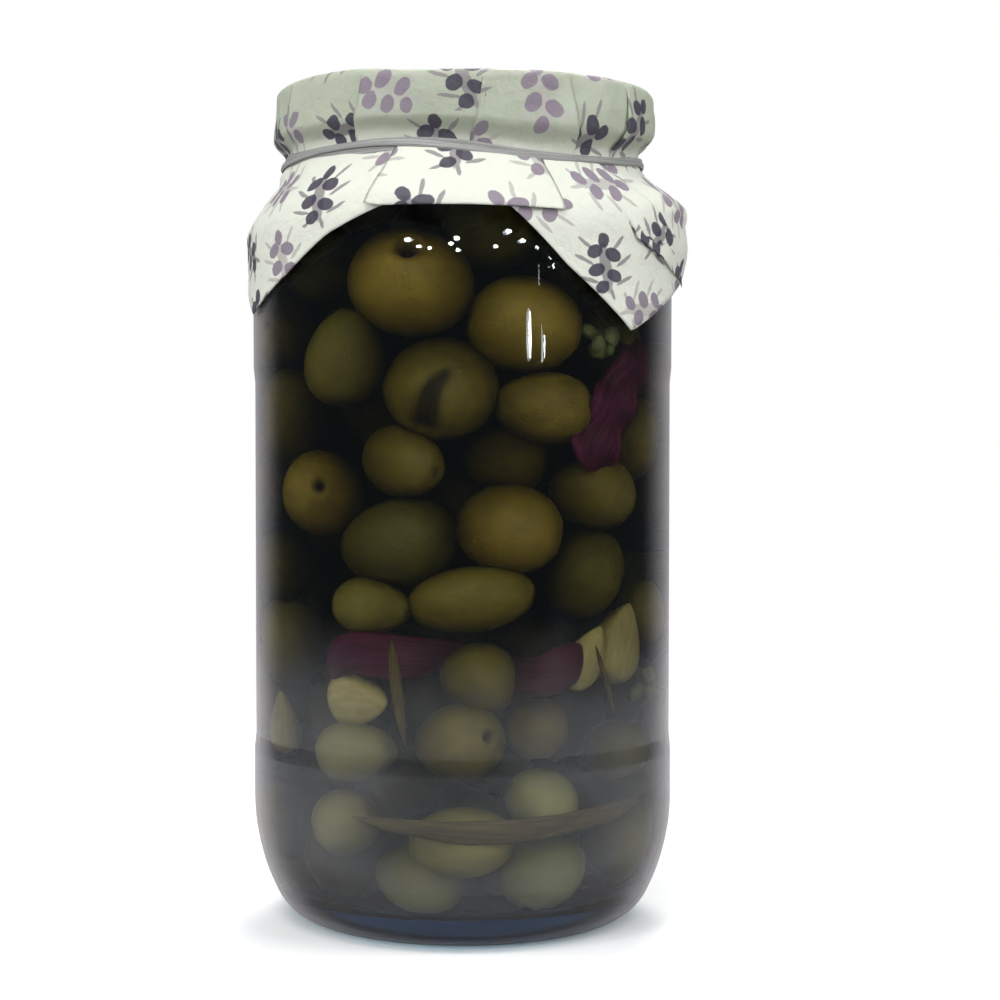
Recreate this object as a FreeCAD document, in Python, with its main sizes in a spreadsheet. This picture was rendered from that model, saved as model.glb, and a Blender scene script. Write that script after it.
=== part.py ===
"""Tall clear glass jar of olives, filled and shut, with a square of printed paper tied over its metal cap.

Frame: millimetres, +Z up, origin at the centre of the base, front towards -Y.
"""

import FreeCAD, Part
import os

import Sketcher

# ----------------------------------------------------------------- dimensions
DIMENSIONS = {
    # glass, outside
    "underside_rise": 2.4,
    "foot_inner_radius": 31.0,
    "foot_radius": 44.6,
    "heel_top": 19.8,
    "heel_radius": 54.0,
    "heel_corner": 13.6,
    "heel_sweep": 54.0,
    "panel_low": 44.0,
    "panel_low_in": 48.0,
    "panel_radius": 53.6,
    "panel_high_in": 138.0,
    "panel_high": 142.0,
    "body_radius": 54.0,
    "shoulder_top": 177.0,
    "shoulder_sweep": 38.0,
    "neck_radius": 44.0,
    "neck_bottom": 190.0,
    "neck_corner": 2.5,
    "finish_bottom": 201.4,
    "finish_radius": 45.8,
    "finish_top": 206.8,
    "lip_radius": 44.4,
    "rim_height": 209.4,
    # glass, inside
    "floor_rise": 10.4,
    "floor_centre": 9.0,
    "floor_radius": 42.6,
    "inside_heel_top": 22.5,
    "inside_radius": 51.2,
    "inside_heel_corner": 9.0,
    "inside_heel_sweep": 30.0,
    "inside_shoulder_top": 176.2,
    "inside_shoulder_sweep": 35.0,
    "mouth_radius": 41.2,
    "mouth_bottom": 189.2,
    # contents
    "fill_level": 199.0,
    # metal cap
    "cap_skirt_bottom": 200.2,
    "cap_bead_top": 202.0,
    "cap_bead_radius": 47.4,
    "cap_radius": 47.1,
    "cap_inside_radius": 46.5,
    "cap_lip_inside_radius": 45.9,
    "cap_lip_top": 201.0,
    "cap_panel_radius": 42.6,
    "cap_panel_step": 44.6,
    "cap_panel_top": 210.3,
    "cap_top": 211.0,
    "cap_corner": 1.2,
    # paper cover
    "paper_top": 211.6,
    "paper_drum_radius": 48.3,
    "paper_drum_inside": 47.5,
    "paper_drum_bottom": 200.2,
    "paper_tied_radius": 44.9,
    "paper_tied_inside": 44.1,
    "paper_tied_top": 196.0,
    "paper_tied_bottom": 190.6,
    "paper_flare_radius": 56.4,
    "paper_flare_inside": 55.5,
    "paper_flare_top": 182.2,
    "paper_flare_bottom": 178.8,
    "paper_skirt_radius": 55.1,
    "paper_skirt_inside": 54.2,
    "paper_skirt_top": 172.0,
    "paper_hem": 149.0,
    "paper_crown_corner": 1.6,
    "paper_cut_reach": 70.0,
    # tie round the neck
    "strand_radius": 0.8,
    "tie_radius": 45.7,
    "tie_height": 192.8,
    "strand_pitch": 1.3,
}

# Each side of the paper square hangs between two of its corners: the side's middle direction in degrees,
# counted from the front towards +X, then half its chord and half the flat middle of its hem.
HEM_SIDES = {
    "front": {"middle": -12.0, "half_chord": 47.6, "half_flat": 27.0, "hem": 177.6},
    "right": {"middle": 87.0, "half_chord": 36.0, "half_flat": 12.0, "hem": 177.0},
    "back": {"middle": 168.0, "half_chord": 36.0, "half_flat": 14.0, "hem": 177.4},
    "left": {"middle": 249.0, "half_chord": 36.0, "half_flat": 10.0, "hem": 176.6},
}
STRANDS = ("low", "middle", "high")

for side, hem in HEM_SIDES.items():
    for size in ("middle", "half_chord", "half_flat", "hem"):
        DIMENSIONS[f"{side}_{size}"] = hem[size]

doc = FreeCAD.newDocument("JarOfOlives")
sheet = doc.addObject("Spreadsheet::Sheet", "Dimensions")
for row, (alias, value) in enumerate(DIMENSIONS.items(), start=1):
    sheet.set(f"A{row}", alias)
    sheet.set(f"B{row}", str(value))
    sheet.setAlias(f"B{row}", alias)
doc.recompute()


# -------------------------------------------------------------------- helpers
def cell(alias):
    return f"Dimensions.{alias}"


def new_body(label):
    body = doc.addObject("PartDesign::Body", label)
    body.Label = label
    return body


def origin_plane(body, role):
    return next(item for item in body.Origin.OriginFeatures if item.Role == role)


def place_corner(sketch, line, axis, alias, mirrored=False):
    """Holds the start of a line at the sheet's distance along one sketch axis, or on the other axis."""
    if alias is None:
        sketch.addConstraint(Sketcher.Constraint("PointOnObject", line, 1, -2 if axis == "X" else -1))
        return
    sign = -1.0 if mirrored else 1.0
    size = Sketcher.Constraint(f"Distance{axis}", -1, 1, line, 1, sign * DIMENSIONS[alias])
    index = sketch.addConstraint(size)
    sketch.setExpression(f"Constraints[{index}]", ("-" if mirrored else "") + cell(alias))


def polygon_sketch(body, name, corners):
    """A closed outline on the body's XZ plane from (across, up) pairs of sheet aliases.

    None stands for zero, and a leading "-" puts a corner on the far side of the vertical axis.
    """
    sketch = body.newObject("Sketcher::SketchObject", name)
    sketch.AttachmentSupport = (origin_plane(body, "XZ_Plane"), [""])
    sketch.MapMode = "FlatFace"
    points = []
    for across, up in corners:
        mirrored = bool(across) and across.startswith("-")
        size = DIMENSIONS[across.lstrip("-")] if across else 0.0
        height = DIMENSIONS[up] if up else 0.0
        points.append(FreeCAD.Vector(-size if mirrored else size, height, 0))
    count = len(points)
    for index, start in enumerate(points):
        sketch.addGeometry(Part.LineSegment(start, points[(index + 1) % count]), False)
    for index in range(count):
        sketch.addConstraint(Sketcher.Constraint("Coincident", index, 2, (index + 1) % count, 1))
    for index, (across, up) in enumerate(corners):
        mirrored = bool(across) and across.startswith("-")
        place_corner(sketch, index, "X", across.lstrip("-") if across else None, mirrored)
        place_corner(sketch, index, "Y", up)
    return sketch


def revolve(body, name, corners):
    sketch = polygon_sketch(body, f"{name}_profile", corners)
    turned = body.newObject("PartDesign::Revolution", name)
    turned.Profile = sketch
    turned.ReferenceAxis = (sketch, ["V_Axis"])
    turned.Angle = 360
    sketch.Visibility = False
    doc.recompute()
    return turned


def groove(body, name, corners):
    sketch = polygon_sketch(body, f"{name}_profile", corners)
    cut = body.newObject("PartDesign::Groove", name)
    cut.Profile = sketch
    cut.ReferenceAxis = (sketch, ["V_Axis"])
    cut.Angle = 360
    sketch.Visibility = False
    doc.recompute()
    return cut


def round_corner(body, feature, radius, height, size):
    """Rounds the circular edge that lies at the sheet's radius and height."""
    wanted = (DIMENSIONS[radius], DIMENSIONS[height] if height else 0.0)
    found = []
    for index, edge in enumerate(feature.Shape.Edges, start=1):
        if not isinstance(edge.Curve, Part.Circle):
            continue
        if abs(edge.Curve.Radius - wanted[0]) < 0.01 and abs(edge.Curve.Center.z - wanted[1]) < 0.01:
            found.append(f"Edge{index}")
    if not found:
        raise RuntimeError(f"{feature.Name} has no circular edge at {radius}, {height}")
    fillet = body.newObject("PartDesign::Fillet", f"{body.Name}_{size}")
    fillet.Base = (feature, found)
    fillet.Radius = DIMENSIONS[size]
    fillet.setExpression("Radius", cell(size))
    doc.recompute()
    return fillet


# ------------------------------------------------------------------------ jar
def make_jar():
    """Pressed glass: thick base on a ring foot, tall heel, shallow label panel, shoulder, neck and lip."""
    body = new_body("jar")
    glass = revolve(body, "glass", [
        (None, "underside_rise"),
        ("foot_inner_radius", None),
        ("foot_radius", None),
        ("heel_radius", "heel_top"),
        ("body_radius", "panel_low"),
        ("panel_radius", "panel_low_in"),
        ("panel_radius", "panel_high_in"),
        ("body_radius", "panel_high"),
        ("body_radius", "shoulder_top"),
        ("neck_radius", "neck_bottom"),
        ("neck_radius", "finish_bottom"),
        ("finish_radius", "finish_bottom"),
        ("finish_radius", "finish_top"),
        ("lip_radius", "rim_height"),
        (None, "rim_height"),
    ])
    glass = round_corner(body, glass, "heel_radius", "heel_top", "heel_sweep")
    glass = round_corner(body, glass, "foot_radius", None, "heel_corner")
    glass = round_corner(body, glass, "body_radius", "shoulder_top", "shoulder_sweep")
    glass = round_corner(body, glass, "neck_radius", "neck_bottom", "neck_corner")
    glass = hollow(body, glass, "rim_height")
    body.Tip = glass
    return body


def inside_corners(top):
    return [
        (None, "floor_rise"),
        ("floor_radius", "floor_centre"),
        ("inside_radius", "inside_heel_top"),
        ("inside_radius", "inside_shoulder_top"),
        ("mouth_radius", "mouth_bottom"),
        ("mouth_radius", top),
        (None, top),
    ]


def hollow(body, solid, top):
    cavity = groove(body, "cavity", inside_corners(top))
    cavity = round_corner(body, cavity, "inside_radius", "inside_heel_top", "inside_heel_sweep")
    cavity = round_corner(body, cavity, "floor_radius", "floor_centre", "inside_heel_corner")
    cavity = round_corner(body, cavity, "inside_radius", "inside_shoulder_top", "inside_shoulder_sweep")
    return cavity


# ---------------------------------------------------------------------- brine
def make_brine():
    """The whole contents, filling the glass up to the neck."""
    body = new_body("brine")
    fill = revolve(body, "fill", inside_corners("fill_level"))
    fill = round_corner(body, fill, "inside_radius", "inside_heel_top", "inside_heel_sweep")
    fill = round_corner(body, fill, "floor_radius", "floor_centre", "inside_heel_corner")
    fill = round_corner(body, fill, "inside_radius", "inside_shoulder_top", "inside_shoulder_sweep")
    body.Tip = fill
    return body


# ------------------------------------------------------------------------ cap
def make_cap():
    """Pressed metal cap: panel seated on the glass lip, straight skirt, curled lower edge."""
    body = new_body("cap")
    shell = revolve(body, "shell", [
        (None, "rim_height"),
        ("cap_inside_radius", "rim_height"),
        ("cap_inside_radius", "cap_lip_top"),
        ("cap_lip_inside_radius", "cap_lip_top"),
        ("cap_lip_inside_radius", "cap_skirt_bottom"),
        ("cap_bead_radius", "cap_skirt_bottom"),
        ("cap_bead_radius", "cap_bead_top"),
        ("cap_radius", "cap_bead_top"),
        ("cap_radius", "cap_top"),
        ("cap_panel_step", "cap_top"),
        ("cap_panel_radius", "cap_panel_top"),
        (None, "cap_panel_top"),
    ])
    body.Tip = round_corner(body, shell, "cap_radius", "cap_top", "cap_corner")
    return body


# ---------------------------------------------------------------- paper cover
def make_paper_cover():
    """A square of paper over the cap, drawn in under the tie, its four corners hanging over the shoulder."""
    body = new_body("paper_cover")
    cover = revolve(body, "drape", [
        (None, "cap_top"),
        ("paper_drum_inside", "cap_top"),
        ("paper_drum_inside", "paper_drum_bottom"),
        ("paper_tied_inside", "paper_tied_top"),
        ("paper_tied_inside", "paper_tied_bottom"),
        ("paper_flare_inside", "paper_flare_top"),
        ("paper_flare_inside", "paper_flare_bottom"),
        ("paper_skirt_inside", "paper_skirt_top"),
        ("paper_skirt_inside", "paper_hem"),
        ("paper_skirt_radius", "paper_hem"),
        ("paper_skirt_radius", "paper_skirt_top"),
        ("paper_flare_radius", "paper_flare_bottom"),
        ("paper_flare_radius", "paper_flare_top"),
        ("paper_tied_radius", "paper_tied_bottom"),
        ("paper_tied_radius", "paper_tied_top"),
        ("paper_drum_radius", "paper_drum_bottom"),
        ("paper_drum_radius", "paper_top"),
        (None, "paper_top"),
    ])
    cover = round_corner(body, cover, "paper_drum_radius", "paper_top", "paper_crown_corner")
    for side in HEM_SIDES:
        cover = cut_hem(body, cover, side)
    body.Tip = cover
    return body


def cut_hem(body, cover, side):
    """Cuts one side of the skirt back to its hem, outwards from the jar's axis."""
    sketch = polygon_sketch(body, f"{side}_hem_outline", [
        (f"-{side}_half_chord", "paper_hem"),
        (f"{side}_half_chord", "paper_hem"),
        (f"{side}_half_flat", f"{side}_hem"),
        (f"-{side}_half_flat", f"{side}_hem"),
    ])
    turn = FreeCAD.Rotation(FreeCAD.Vector(0, 1, 0), DIMENSIONS[f"{side}_middle"])
    sketch.AttachmentOffset = FreeCAD.Placement(FreeCAD.Vector(), turn)
    sketch.setExpression("AttachmentOffset.Rotation.Angle", f"{cell(side + '_middle')} * 1 deg")
    pocket = body.newObject("PartDesign::Pocket", f"{side}_hem")
    pocket.Profile = sketch
    pocket.Type = 0
    pocket.Length = DIMENSIONS["paper_cut_reach"]
    pocket.setExpression("Length", cell("paper_cut_reach"))
    pocket.Reversed = True
    sketch.Visibility = False
    doc.recompute()
    if pocket.Shape.Volume > cover.Shape.Volume - 100.0:
        raise RuntimeError(f"the {side} hem cut nothing")
    return pocket


# ------------------------------------------------------------------------ tie
def make_tie():
    """Three turns of band lying side by side round the neck."""
    turns = []
    for number, name in enumerate(STRANDS, start=-1):
        turn = doc.addObject("Part::Torus", f"strand_{name}")
        turn.setExpression("Radius1", cell("tie_radius"))
        turn.setExpression("Radius2", cell("strand_radius"))
        height = f"{cell('tie_height')} + {number} * {cell('strand_pitch')}"
        turn.setExpression("Placement.Base.z", height)
        turns.append(turn)
    tie = doc.addObject("Part::MultiFuse", "tie")
    tie.Label = "tie"
    tie.Shapes = turns
    return tie


# ------------------------------------------------------------ build and write
nodes = [make_jar(), make_brine(), make_cap(), make_paper_cover(), make_tie()]
doc.recompute()

failed = [item.Name for item in doc.Objects if {"Invalid", "Error"} & set(item.State)]
if failed:
    raise RuntimeError(f"not rebuilt: {failed}")
for node in nodes:
    if node.Shape.isNull() or not node.Shape.isValid():
        raise RuntimeError(f"{node.Label} has no valid shape")
    if len(node.Shape.Solids) != 1:
        raise RuntimeError(f"{node.Label} has {len(node.Shape.Solids)} solids")

os.makedirs("parts", exist_ok=True)
for node in nodes:
    node.Shape.exportStep(f"parts/{node.Label}.step")
    size = node.Shape.BoundBox
    print(
        f"{node.Label:12s} volume {node.Shape.Volume / 1000:9.2f} cm3"
        f"  x {size.XMin:7.2f} {size.XMax:7.2f}  y {size.YMin:7.2f} {size.YMax:7.2f}"
        f"  z {size.ZMin:7.2f} {size.ZMax:7.2f}"
    )
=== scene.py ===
"""Looks of the jar of olives: clear glass, dark brine, olives and pickled trimmings, tied paper cover."""

import math

import bmesh
import bpy
import numpy as np
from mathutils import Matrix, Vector


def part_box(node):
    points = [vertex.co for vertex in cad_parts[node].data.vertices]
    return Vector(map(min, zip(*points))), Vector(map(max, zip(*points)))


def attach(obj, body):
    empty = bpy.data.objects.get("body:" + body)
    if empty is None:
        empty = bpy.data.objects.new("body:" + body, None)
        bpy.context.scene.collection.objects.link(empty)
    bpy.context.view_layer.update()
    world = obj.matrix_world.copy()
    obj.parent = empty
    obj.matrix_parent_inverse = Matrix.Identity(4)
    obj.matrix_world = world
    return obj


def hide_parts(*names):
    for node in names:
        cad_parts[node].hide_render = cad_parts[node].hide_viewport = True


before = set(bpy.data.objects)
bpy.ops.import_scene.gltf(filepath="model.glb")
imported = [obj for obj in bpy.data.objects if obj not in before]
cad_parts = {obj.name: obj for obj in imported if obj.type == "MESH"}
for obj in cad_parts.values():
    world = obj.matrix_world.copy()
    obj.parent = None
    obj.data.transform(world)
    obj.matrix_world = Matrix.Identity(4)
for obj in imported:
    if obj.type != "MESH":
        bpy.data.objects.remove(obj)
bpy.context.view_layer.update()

MM = 0.001
RNG = np.random.default_rng(57)

# ---- frame sizes (mm)
def span(name):
    """Lowest and highest corner of a CAD node, millimetres."""
    return [np.array(corner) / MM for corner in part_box(name)]


FILL_LOW, FILL_HIGH = span("brine")
TIE_LOW, TIE_HIGH = span("tie")
FILL_RADIUS = FILL_HIGH[0]
TIE_HEIGHT = (TIE_LOW[2] + TIE_HIGH[2]) / 2
TIE_THICK = 1.6
NECK_RADIUS = TIE_HIGH[0] - TIE_THICK
CROWN_TOP = span("paper_cover")[1][2]


# ---- small helpers
def smoothstep(low, high, value):
    share = np.clip((value - low) / (high - low), 0.0, 1.0)
    return share * share * (3.0 - 2.0 * share)


def around(azimuth, radius, height):
    """Points at an azimuth in degrees counted from the front (-Y) towards +X."""
    angle = np.radians(azimuth)
    return np.stack(np.broadcast_arrays(radius * np.sin(angle), -radius * np.cos(angle), height), axis=-1)


def full_turn(count):
    return np.linspace(0.0, 2 * np.pi, count, endpoint=False)


def through(knots, at):
    """A smooth curve through (position, value) knots, level at both ends."""
    xs, ys = np.array(knots, float).T
    slopes = np.gradient(ys, xs)
    at = np.clip(at, xs[0], xs[-1])
    cell = np.clip(np.searchsorted(xs, at, side="right") - 1, 0, len(xs) - 2)
    width = xs[cell + 1] - xs[cell]
    t = (at - xs[cell]) / width
    a = ys[cell] * (1 + 2 * t) * (1 - t) ** 2
    b = slopes[cell] * width * t * (1 - t) ** 2
    c = ys[cell + 1] * t * t * (3 - 2 * t)
    d = slopes[cell + 1] * width * t * t * (t - 1)
    return a + b + c + d


def ripple(position, seed, waves=4, period=360.0):
    """A repeating sum of a few seeded sine waves, about -1 to 1."""
    phases = np.random.default_rng(seed)
    total = 0.0
    for wave in range(1, waves + 1):
        turns = phases.integers(wave, 2 * wave + 2)
        total = total + np.sin(2 * np.pi * (turns * position / period + phases.random())) / wave
    return total / 1.6


def grid_faces(rows, columns, wrap=False, ring=False):
    """Quads of a grid of points stored row after row, closed across its columns (wrap) or rows (ring)."""
    row, column = np.mgrid[0 : rows if ring else rows - 1, 0 : columns if wrap else columns - 1]
    here, below, beside = row * columns, (row + 1) % rows * columns, (column + 1) % columns
    return np.stack([here + column, here + beside, below + beside, below + column], axis=-1).reshape(-1, 4)


def make_mesh(name, points, faces, material, uvs=None, layers=None, smooth=True):
    """A mesh object from points in millimetres, with optional point values stored as attributes."""
    mesh = bpy.data.meshes.new(name)
    mesh.from_pydata((np.asarray(points) * MM).tolist(), [], faces)
    mesh.materials.append(material)
    if uvs is not None:
        loops = np.empty(len(mesh.loops), dtype=np.int32)
        mesh.loops.foreach_get("vertex_index", loops)
        layer = mesh.uv_layers.new(name="sheet")
        layer.data.foreach_set("uv", np.asarray(uvs, dtype=np.float32)[loops].ravel())
    for key, values in (layers or {}).items():
        values = np.asarray(values, dtype=np.float32)
        kind = "FLOAT" if values.ndim == 1 else "FLOAT_VECTOR"
        field = "value" if values.ndim == 1 else "vector"
        mesh.attributes.new(key, kind, "POINT").data.foreach_set(field, values.ravel())
    mesh.polygons.foreach_set("use_smooth", [smooth] * len(mesh.polygons))
    mesh.update()
    piece = bpy.data.objects.new(name, mesh)
    bpy.context.scene.collection.objects.link(piece)
    return piece


class Pile:
    """Gathers many small shapes, with values for their points, into one piece."""

    def __init__(self):
        self.points, self.faces, self.layers, self.count = [], [], {}, 0

    def add(self, points, faces, **layers):
        self.points.append(points)
        self.faces += [[self.count + int(corner) for corner in face] for face in faces]
        for key, values in layers.items():
            values = values if np.ndim(values) else np.full(len(points), values)
            self.layers.setdefault(key, []).append(values)
        self.count += len(points)

    def mesh(self, name, material, clear=None):
        """The piece, kept clear of the glass if asked. Values called "sheet" become its UV map."""
        points = np.concatenate(self.points)
        if clear is not None:
            points = keep_in(points, clear)
        layers = {key: np.concatenate(values) for key, values in self.layers.items()}
        return make_mesh(name, points, self.faces, material, uvs=layers.pop("sheet", None), layers=layers)

    def sink(self, name, material, slot, clear=None):
        """The piece as one of those sunk in the brine, with the duplicate points at its poles joined."""
        piece = self.mesh(name, material, clear)
        work = bmesh.new()
        work.from_mesh(piece.data)
        bmesh.ops.remove_doubles(work, verts=work.verts, dist=1e-7)
        bmesh.ops.recalc_face_normals(work, faces=work.faces)
        work.to_mesh(piece.data)
        work.free()
        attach(piece, "root")


# ---- node helpers
class Nodes:
    """Writes the node tree of a material or world from plain calls. Most calls return an output socket."""

    def __init__(self, name, owners="materials"):
        self.owner = getattr(bpy.data, owners).new(name)
        self.owner.use_nodes = True
        self.tree = self.owner.node_tree
        self.tree.nodes.clear()
        self.out = self.node("OutputMaterial" if owners == "materials" else "OutputWorld")

    def node(self, kind, inputs=None, **settings):
        made = self.tree.nodes.new(f"ShaderNode{kind}")
        for key, value in settings.items():
            setattr(made, key, value)
        for key, value in (inputs or {}).items():
            socket = made.inputs[key]
            if isinstance(value, bpy.types.NodeSocket):
                self.tree.links.new(value, socket)
            elif socket.type == "RGBA" and len(value) == 3:
                socket.default_value = (*value, 1.0)
            else:
                socket.default_value = value
        return made

    def math(self, operation, *values, clamp=False):
        return self.node("Math", dict(enumerate(values)), operation=operation, use_clamp=clamp).outputs[0]

    def plus(self, first, second):
        return self.math("ADD", first, second)

    def minus(self, first, second, clamp=False):
        return self.math("SUBTRACT", first, second, clamp=clamp)

    def times(self, first, second):
        return self.math("MULTIPLY", first, second)

    def vector(self, operation, *values):
        return self.node("VectorMath", dict(enumerate(values)), operation=operation).outputs["Vector"]

    def scaled(self, first, second):
        return self.vector("MULTIPLY", first, second)

    def away(self, first, second):
        return self.vector("SUBTRACT", first, second)

    def dot(self, first, second):
        return self.node("VectorMath", {0: first, 1: second}, operation="DOT_PRODUCT").outputs["Value"]

    def length(self, where):
        return self.node("VectorMath", {0: where}, operation="LENGTH").outputs["Value"]

    def mix(self, share, first, second):
        return self.node("Mix", {"Factor": share, 6: first, 7: second}, data_type="RGBA").outputs[2]

    def step(self, low, high, value):
        inputs = {"Value": value, "From Min": low, "From Max": high}
        return self.node("MapRange", inputs, interpolation_type="SMOOTHSTEP").outputs[0]

    def noise(self, where, scale, detail=3.0, roughness=0.5):
        inputs = {"Vector": where, "Scale": scale, "Detail": detail, "Roughness": roughness}
        return self.node("TexNoise", inputs).outputs["Fac"]

    def place(self, output="Object"):
        return self.node("TexCoord").outputs[output]

    def attribute(self, name, output="Fac"):
        return self.node("Attribute", attribute_name=name).outputs[output]

    def sheet(self):
        return self.node("UVMap", uv_map="sheet").outputs[0]

    def bump(self, height, strength, distance):
        return self.node("Bump", {"Height": height, "Strength": strength, "Distance": distance}).outputs[0]

    def split(self, where):
        return self.node("SeparateXYZ", {0: where}).outputs

    def join(self, x=0.0, y=0.0, z=0.0):
        return self.node("CombineXYZ", {0: x, 1: y, 2: z}).outputs[0]

    def shader(self, kind, **inputs):
        return self.node(kind, inputs).outputs[0]

    def blend(self, share, first, second):
        return self.node("MixShader", {0: share, 1: first, 2: second}).outputs[0]

    def lamp_clear(self, body, colour):
        """The body, but clear in this colour to lamp light."""
        lamps = self.node("LightPath").outputs["Is Shadow Ray"]
        return self.blend(lamps, body, self.shader("BsdfTransparent", Color=colour))

    def solid(self, colour, roughness, normal, specular=0.5):
        inputs = {"Base Color": colour, "Roughness": roughness, "Normal": normal}
        return self.node("BsdfPrincipled", {**inputs, "Specular IOR Level": specular}).outputs[0]

    def finish(self, shader, volume=None):
        self.tree.links.new(shader, self.out.inputs["Surface"])
        if volume is not None:
            self.tree.links.new(volume, self.out.inputs["Volume"])
        return self.owner


# ---- materials
# Where the painted reflection low on the glass is thinner: its middle, how fast it ends each way, and how
# much is gone.
THIN_REFLECTION = (
    ((-0.003, -0.054, 0.060), (44.0, 12.0, 34.0), 0.85),
    ((0.006, -0.053, 0.032), (26.0, 12.0, 70.0), 0.75),
)


def glass_material():
    """Clear, faintly blue glass with ripples from the mould, painted reflection that thickens low down, and
    painted sheen at its edges.
    """
    n = Nodes("clear_glass")
    where = n.place()
    ripples = n.noise(n.scaled(where, (1.0, 1.0, 0.45)), 46.0, 2.0)
    normal = n.bump(ripples, 0.25, 0.0006)
    glass = n.shader("BsdfGlass", Color=(0.97, 0.985, 0.985), Roughness=0.0, IOR=1.5, Normal=normal)
    body = n.lamp_clear(glass, (0.93, 0.96, 0.96))
    # Painted reflection: a pale diffuse film, thickest low down, stands in for the room mirrored in the
    # glass.
    patches = n.noise(n.scaled(where, (1.0, 1.0, 0.6)), 30.0, 4.0, 0.6)
    wander = n.times(n.minus(patches, 0.5), 0.075)
    edge = n.plus(n.split(where)[2], wander)
    low = n.step(0.084, 0.028, edge)
    for middle, ends, gone in THIN_REFLECTION:
        far = n.length(n.scaled(n.away(where, middle), ends))
        thinned = n.step(1.1, 0.6, n.plus(far, n.times(wander, 9.0)))
        low = n.times(low, n.minus(1.0, n.times(thinned, gone)))
    # Painted sheen: the same pale film along the edges where the glass turns from view, stronger near the
    # base.
    facing = n.node("LayerWeight", {"Blend": 0.5}).outputs["Facing"]
    strong = n.plus(n.times(n.step(0.100, 0.050, edge), 0.12), 0.24)
    rim = n.times(n.step(0.50, 0.95, facing), strong)
    share = n.plus(n.times(low, 0.032), rim)
    outward = n.vector("NORMALIZE", n.scaled(where, (1.0, 1.0, 0.0)))
    painted_reflection = n.shader("BsdfDiffuse", Color=(0.80, 0.75, 0.78), Normal=outward)
    tint = n.shader("VolumeAbsorption", Color=(0.25, 0.52, 0.70), Density=55.0)
    return n.finish(n.blend(share, body, painted_reflection), tint)


def brine_material():
    """Dark, faintly green liquid that hides what lies deep in it."""
    n = Nodes("dark_brine")
    liquid = n.shader("BsdfGlass", Color=(1.0, 1.0, 1.0), Roughness=0.0, IOR=1.34)
    depth = n.shader("VolumeAbsorption", Color=(0.59, 0.58, 0.34), Density=165.0)
    return n.finish(n.lamp_clear(liquid, (1.0, 1.0, 1.0)), depth)


SUNK_GLOSS = 0.08  # specular level of wet things in the brine


def olive_material():
    """Cured olive skin: each olive has its own hue, a browner end, pores, bruises and a dark stem pit; some
    have painted shade.
    """
    n = Nodes("olive_skin")
    own = n.attribute("own_place", "Vector")
    hue = n.attribute("hue")
    pit = n.attribute("pit")
    blotches = n.noise(own, 2.1, 4.0, 0.6)
    green = n.mix(n.step(0.1, 0.9, blotches), (0.056, 0.051, 0.006), (0.108, 0.085, 0.009))
    gold = n.mix(n.step(0.2, 0.8, blotches), (0.140, 0.086, 0.009), (0.238, 0.143, 0.013))
    skin = n.mix(n.step(0.05, 0.95, hue), green, gold)
    ends = n.step(0.55, 1.15, n.math("ABSOLUTE", n.split(own)[0]))
    skin = n.mix(n.times(ends, 0.25), skin, (0.150, 0.080, 0.020))
    bruise = n.step(0.62, 0.74, n.noise(own, 3.3, 5.0, 0.62))
    skin = n.mix(n.times(bruise, 0.55), skin, (0.078, 0.043, 0.012))
    speck = n.node("TexVoronoi", {"Vector": own, "Scale": 9.0, "Randomness": 1.0}).outputs["Distance"]
    skin = n.mix(n.times(n.step(0.16, 0.05, speck), 0.40), skin, (0.27, 0.24, 0.09))
    skin = n.mix(pit, skin, (0.030, 0.016, 0.008))
    pale = n.attribute("pale")
    skin = n.mix(n.times(n.math("MAXIMUM", pale, 0.0), 0.60), skin, (0.36, 0.32, 0.16))
    # Painted shade: olives with paleness below 0 are darkened towards near black.
    shade = n.times(n.math("MAXIMUM", n.times(pale, -1.0), 0.0), 0.75)
    skin = n.mix(shade, skin, (0.016, 0.013, 0.002))
    pores = n.noise(own, 14.0, 3.0, 0.6)
    normal = n.bump(n.plus(pores, n.times(blotches, 1.5)), 0.35, 0.0006)
    return n.finish(n.solid(skin, 0.42, normal, SUNK_GLOSS))


def soft_material(name, first, second, scale, roughness, streak=(1.0, 1.0, 1.0)):
    """Wet vegetable flesh with streaks of two tones."""
    n = Nodes(name)
    own = n.attribute("own_place", "Vector")
    grain = n.noise(n.scaled(own, streak), scale, 5.0, 0.6)
    tone = n.mix(n.step(0.30, 0.70, grain), first, second)
    normal = n.bump(grain, 0.4, 0.0005)
    return n.finish(n.solid(tone, roughness, normal, SUNK_GLOSS))


SPRIG_CELL = (20.0, 19.0)
# Fruit and leaves of one sprig, mm: centre across, centre along, half length, half width, turn in degrees.
FRUIT = (
    (0.4, 6.8, 2.1, 1.6, 80), (-2.4, 4, 2.3, 1.7, 25), (2.7, 2.7, 2.4, 1.8, -28),
    (-2.6, -0.9, 2.4, 1.75, 22), (2.3, -2.9, 2.3, 1.7, -25), (-1.6, -5.6, 2.1, 1.6, 30),
)
LEAVES = (
    (4.6, 5.8, 2.8, 0.52, 48), (-4.6, 6.4, 2.5, 0.50, 132), (5.7, 0.9, 2.8, 0.54, 32),
    (-5.5, 2, 2.7, 0.52, 146), (5.1, -4.4, 2.7, 0.52, 22), (-5.1, -3.4, 2.8, 0.52, 160),
    (-3.8, -7.1, 2.2, 0.47, 205), (0.9, -7.4, 2, 0.52, 100), (0.1, -0.4, 6.8, 1.7, 91),
)


def ovals(n, spot, shapes, soft):
    """How much of spot (a socket, in millimetres) is covered by the ovals."""
    cover = None
    for across, along, half_long, half_wide, turn in shapes:
        angle = math.radians(turn)
        away = n.away(spot, (across, along, 0.0))
        a = n.dot(away, (math.cos(angle) / half_long, math.sin(angle) / half_long, 0.0))
        b = n.dot(away, (-math.sin(angle) / half_wide, math.cos(angle) / half_wide, 0.0))
        inside = n.step(1.0 + soft, 1.0 - soft, n.plus(n.times(a, a), n.times(b, b)))
        cover = inside if cover is None else n.math("MAXIMUM", cover, inside)
    return cover


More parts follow.
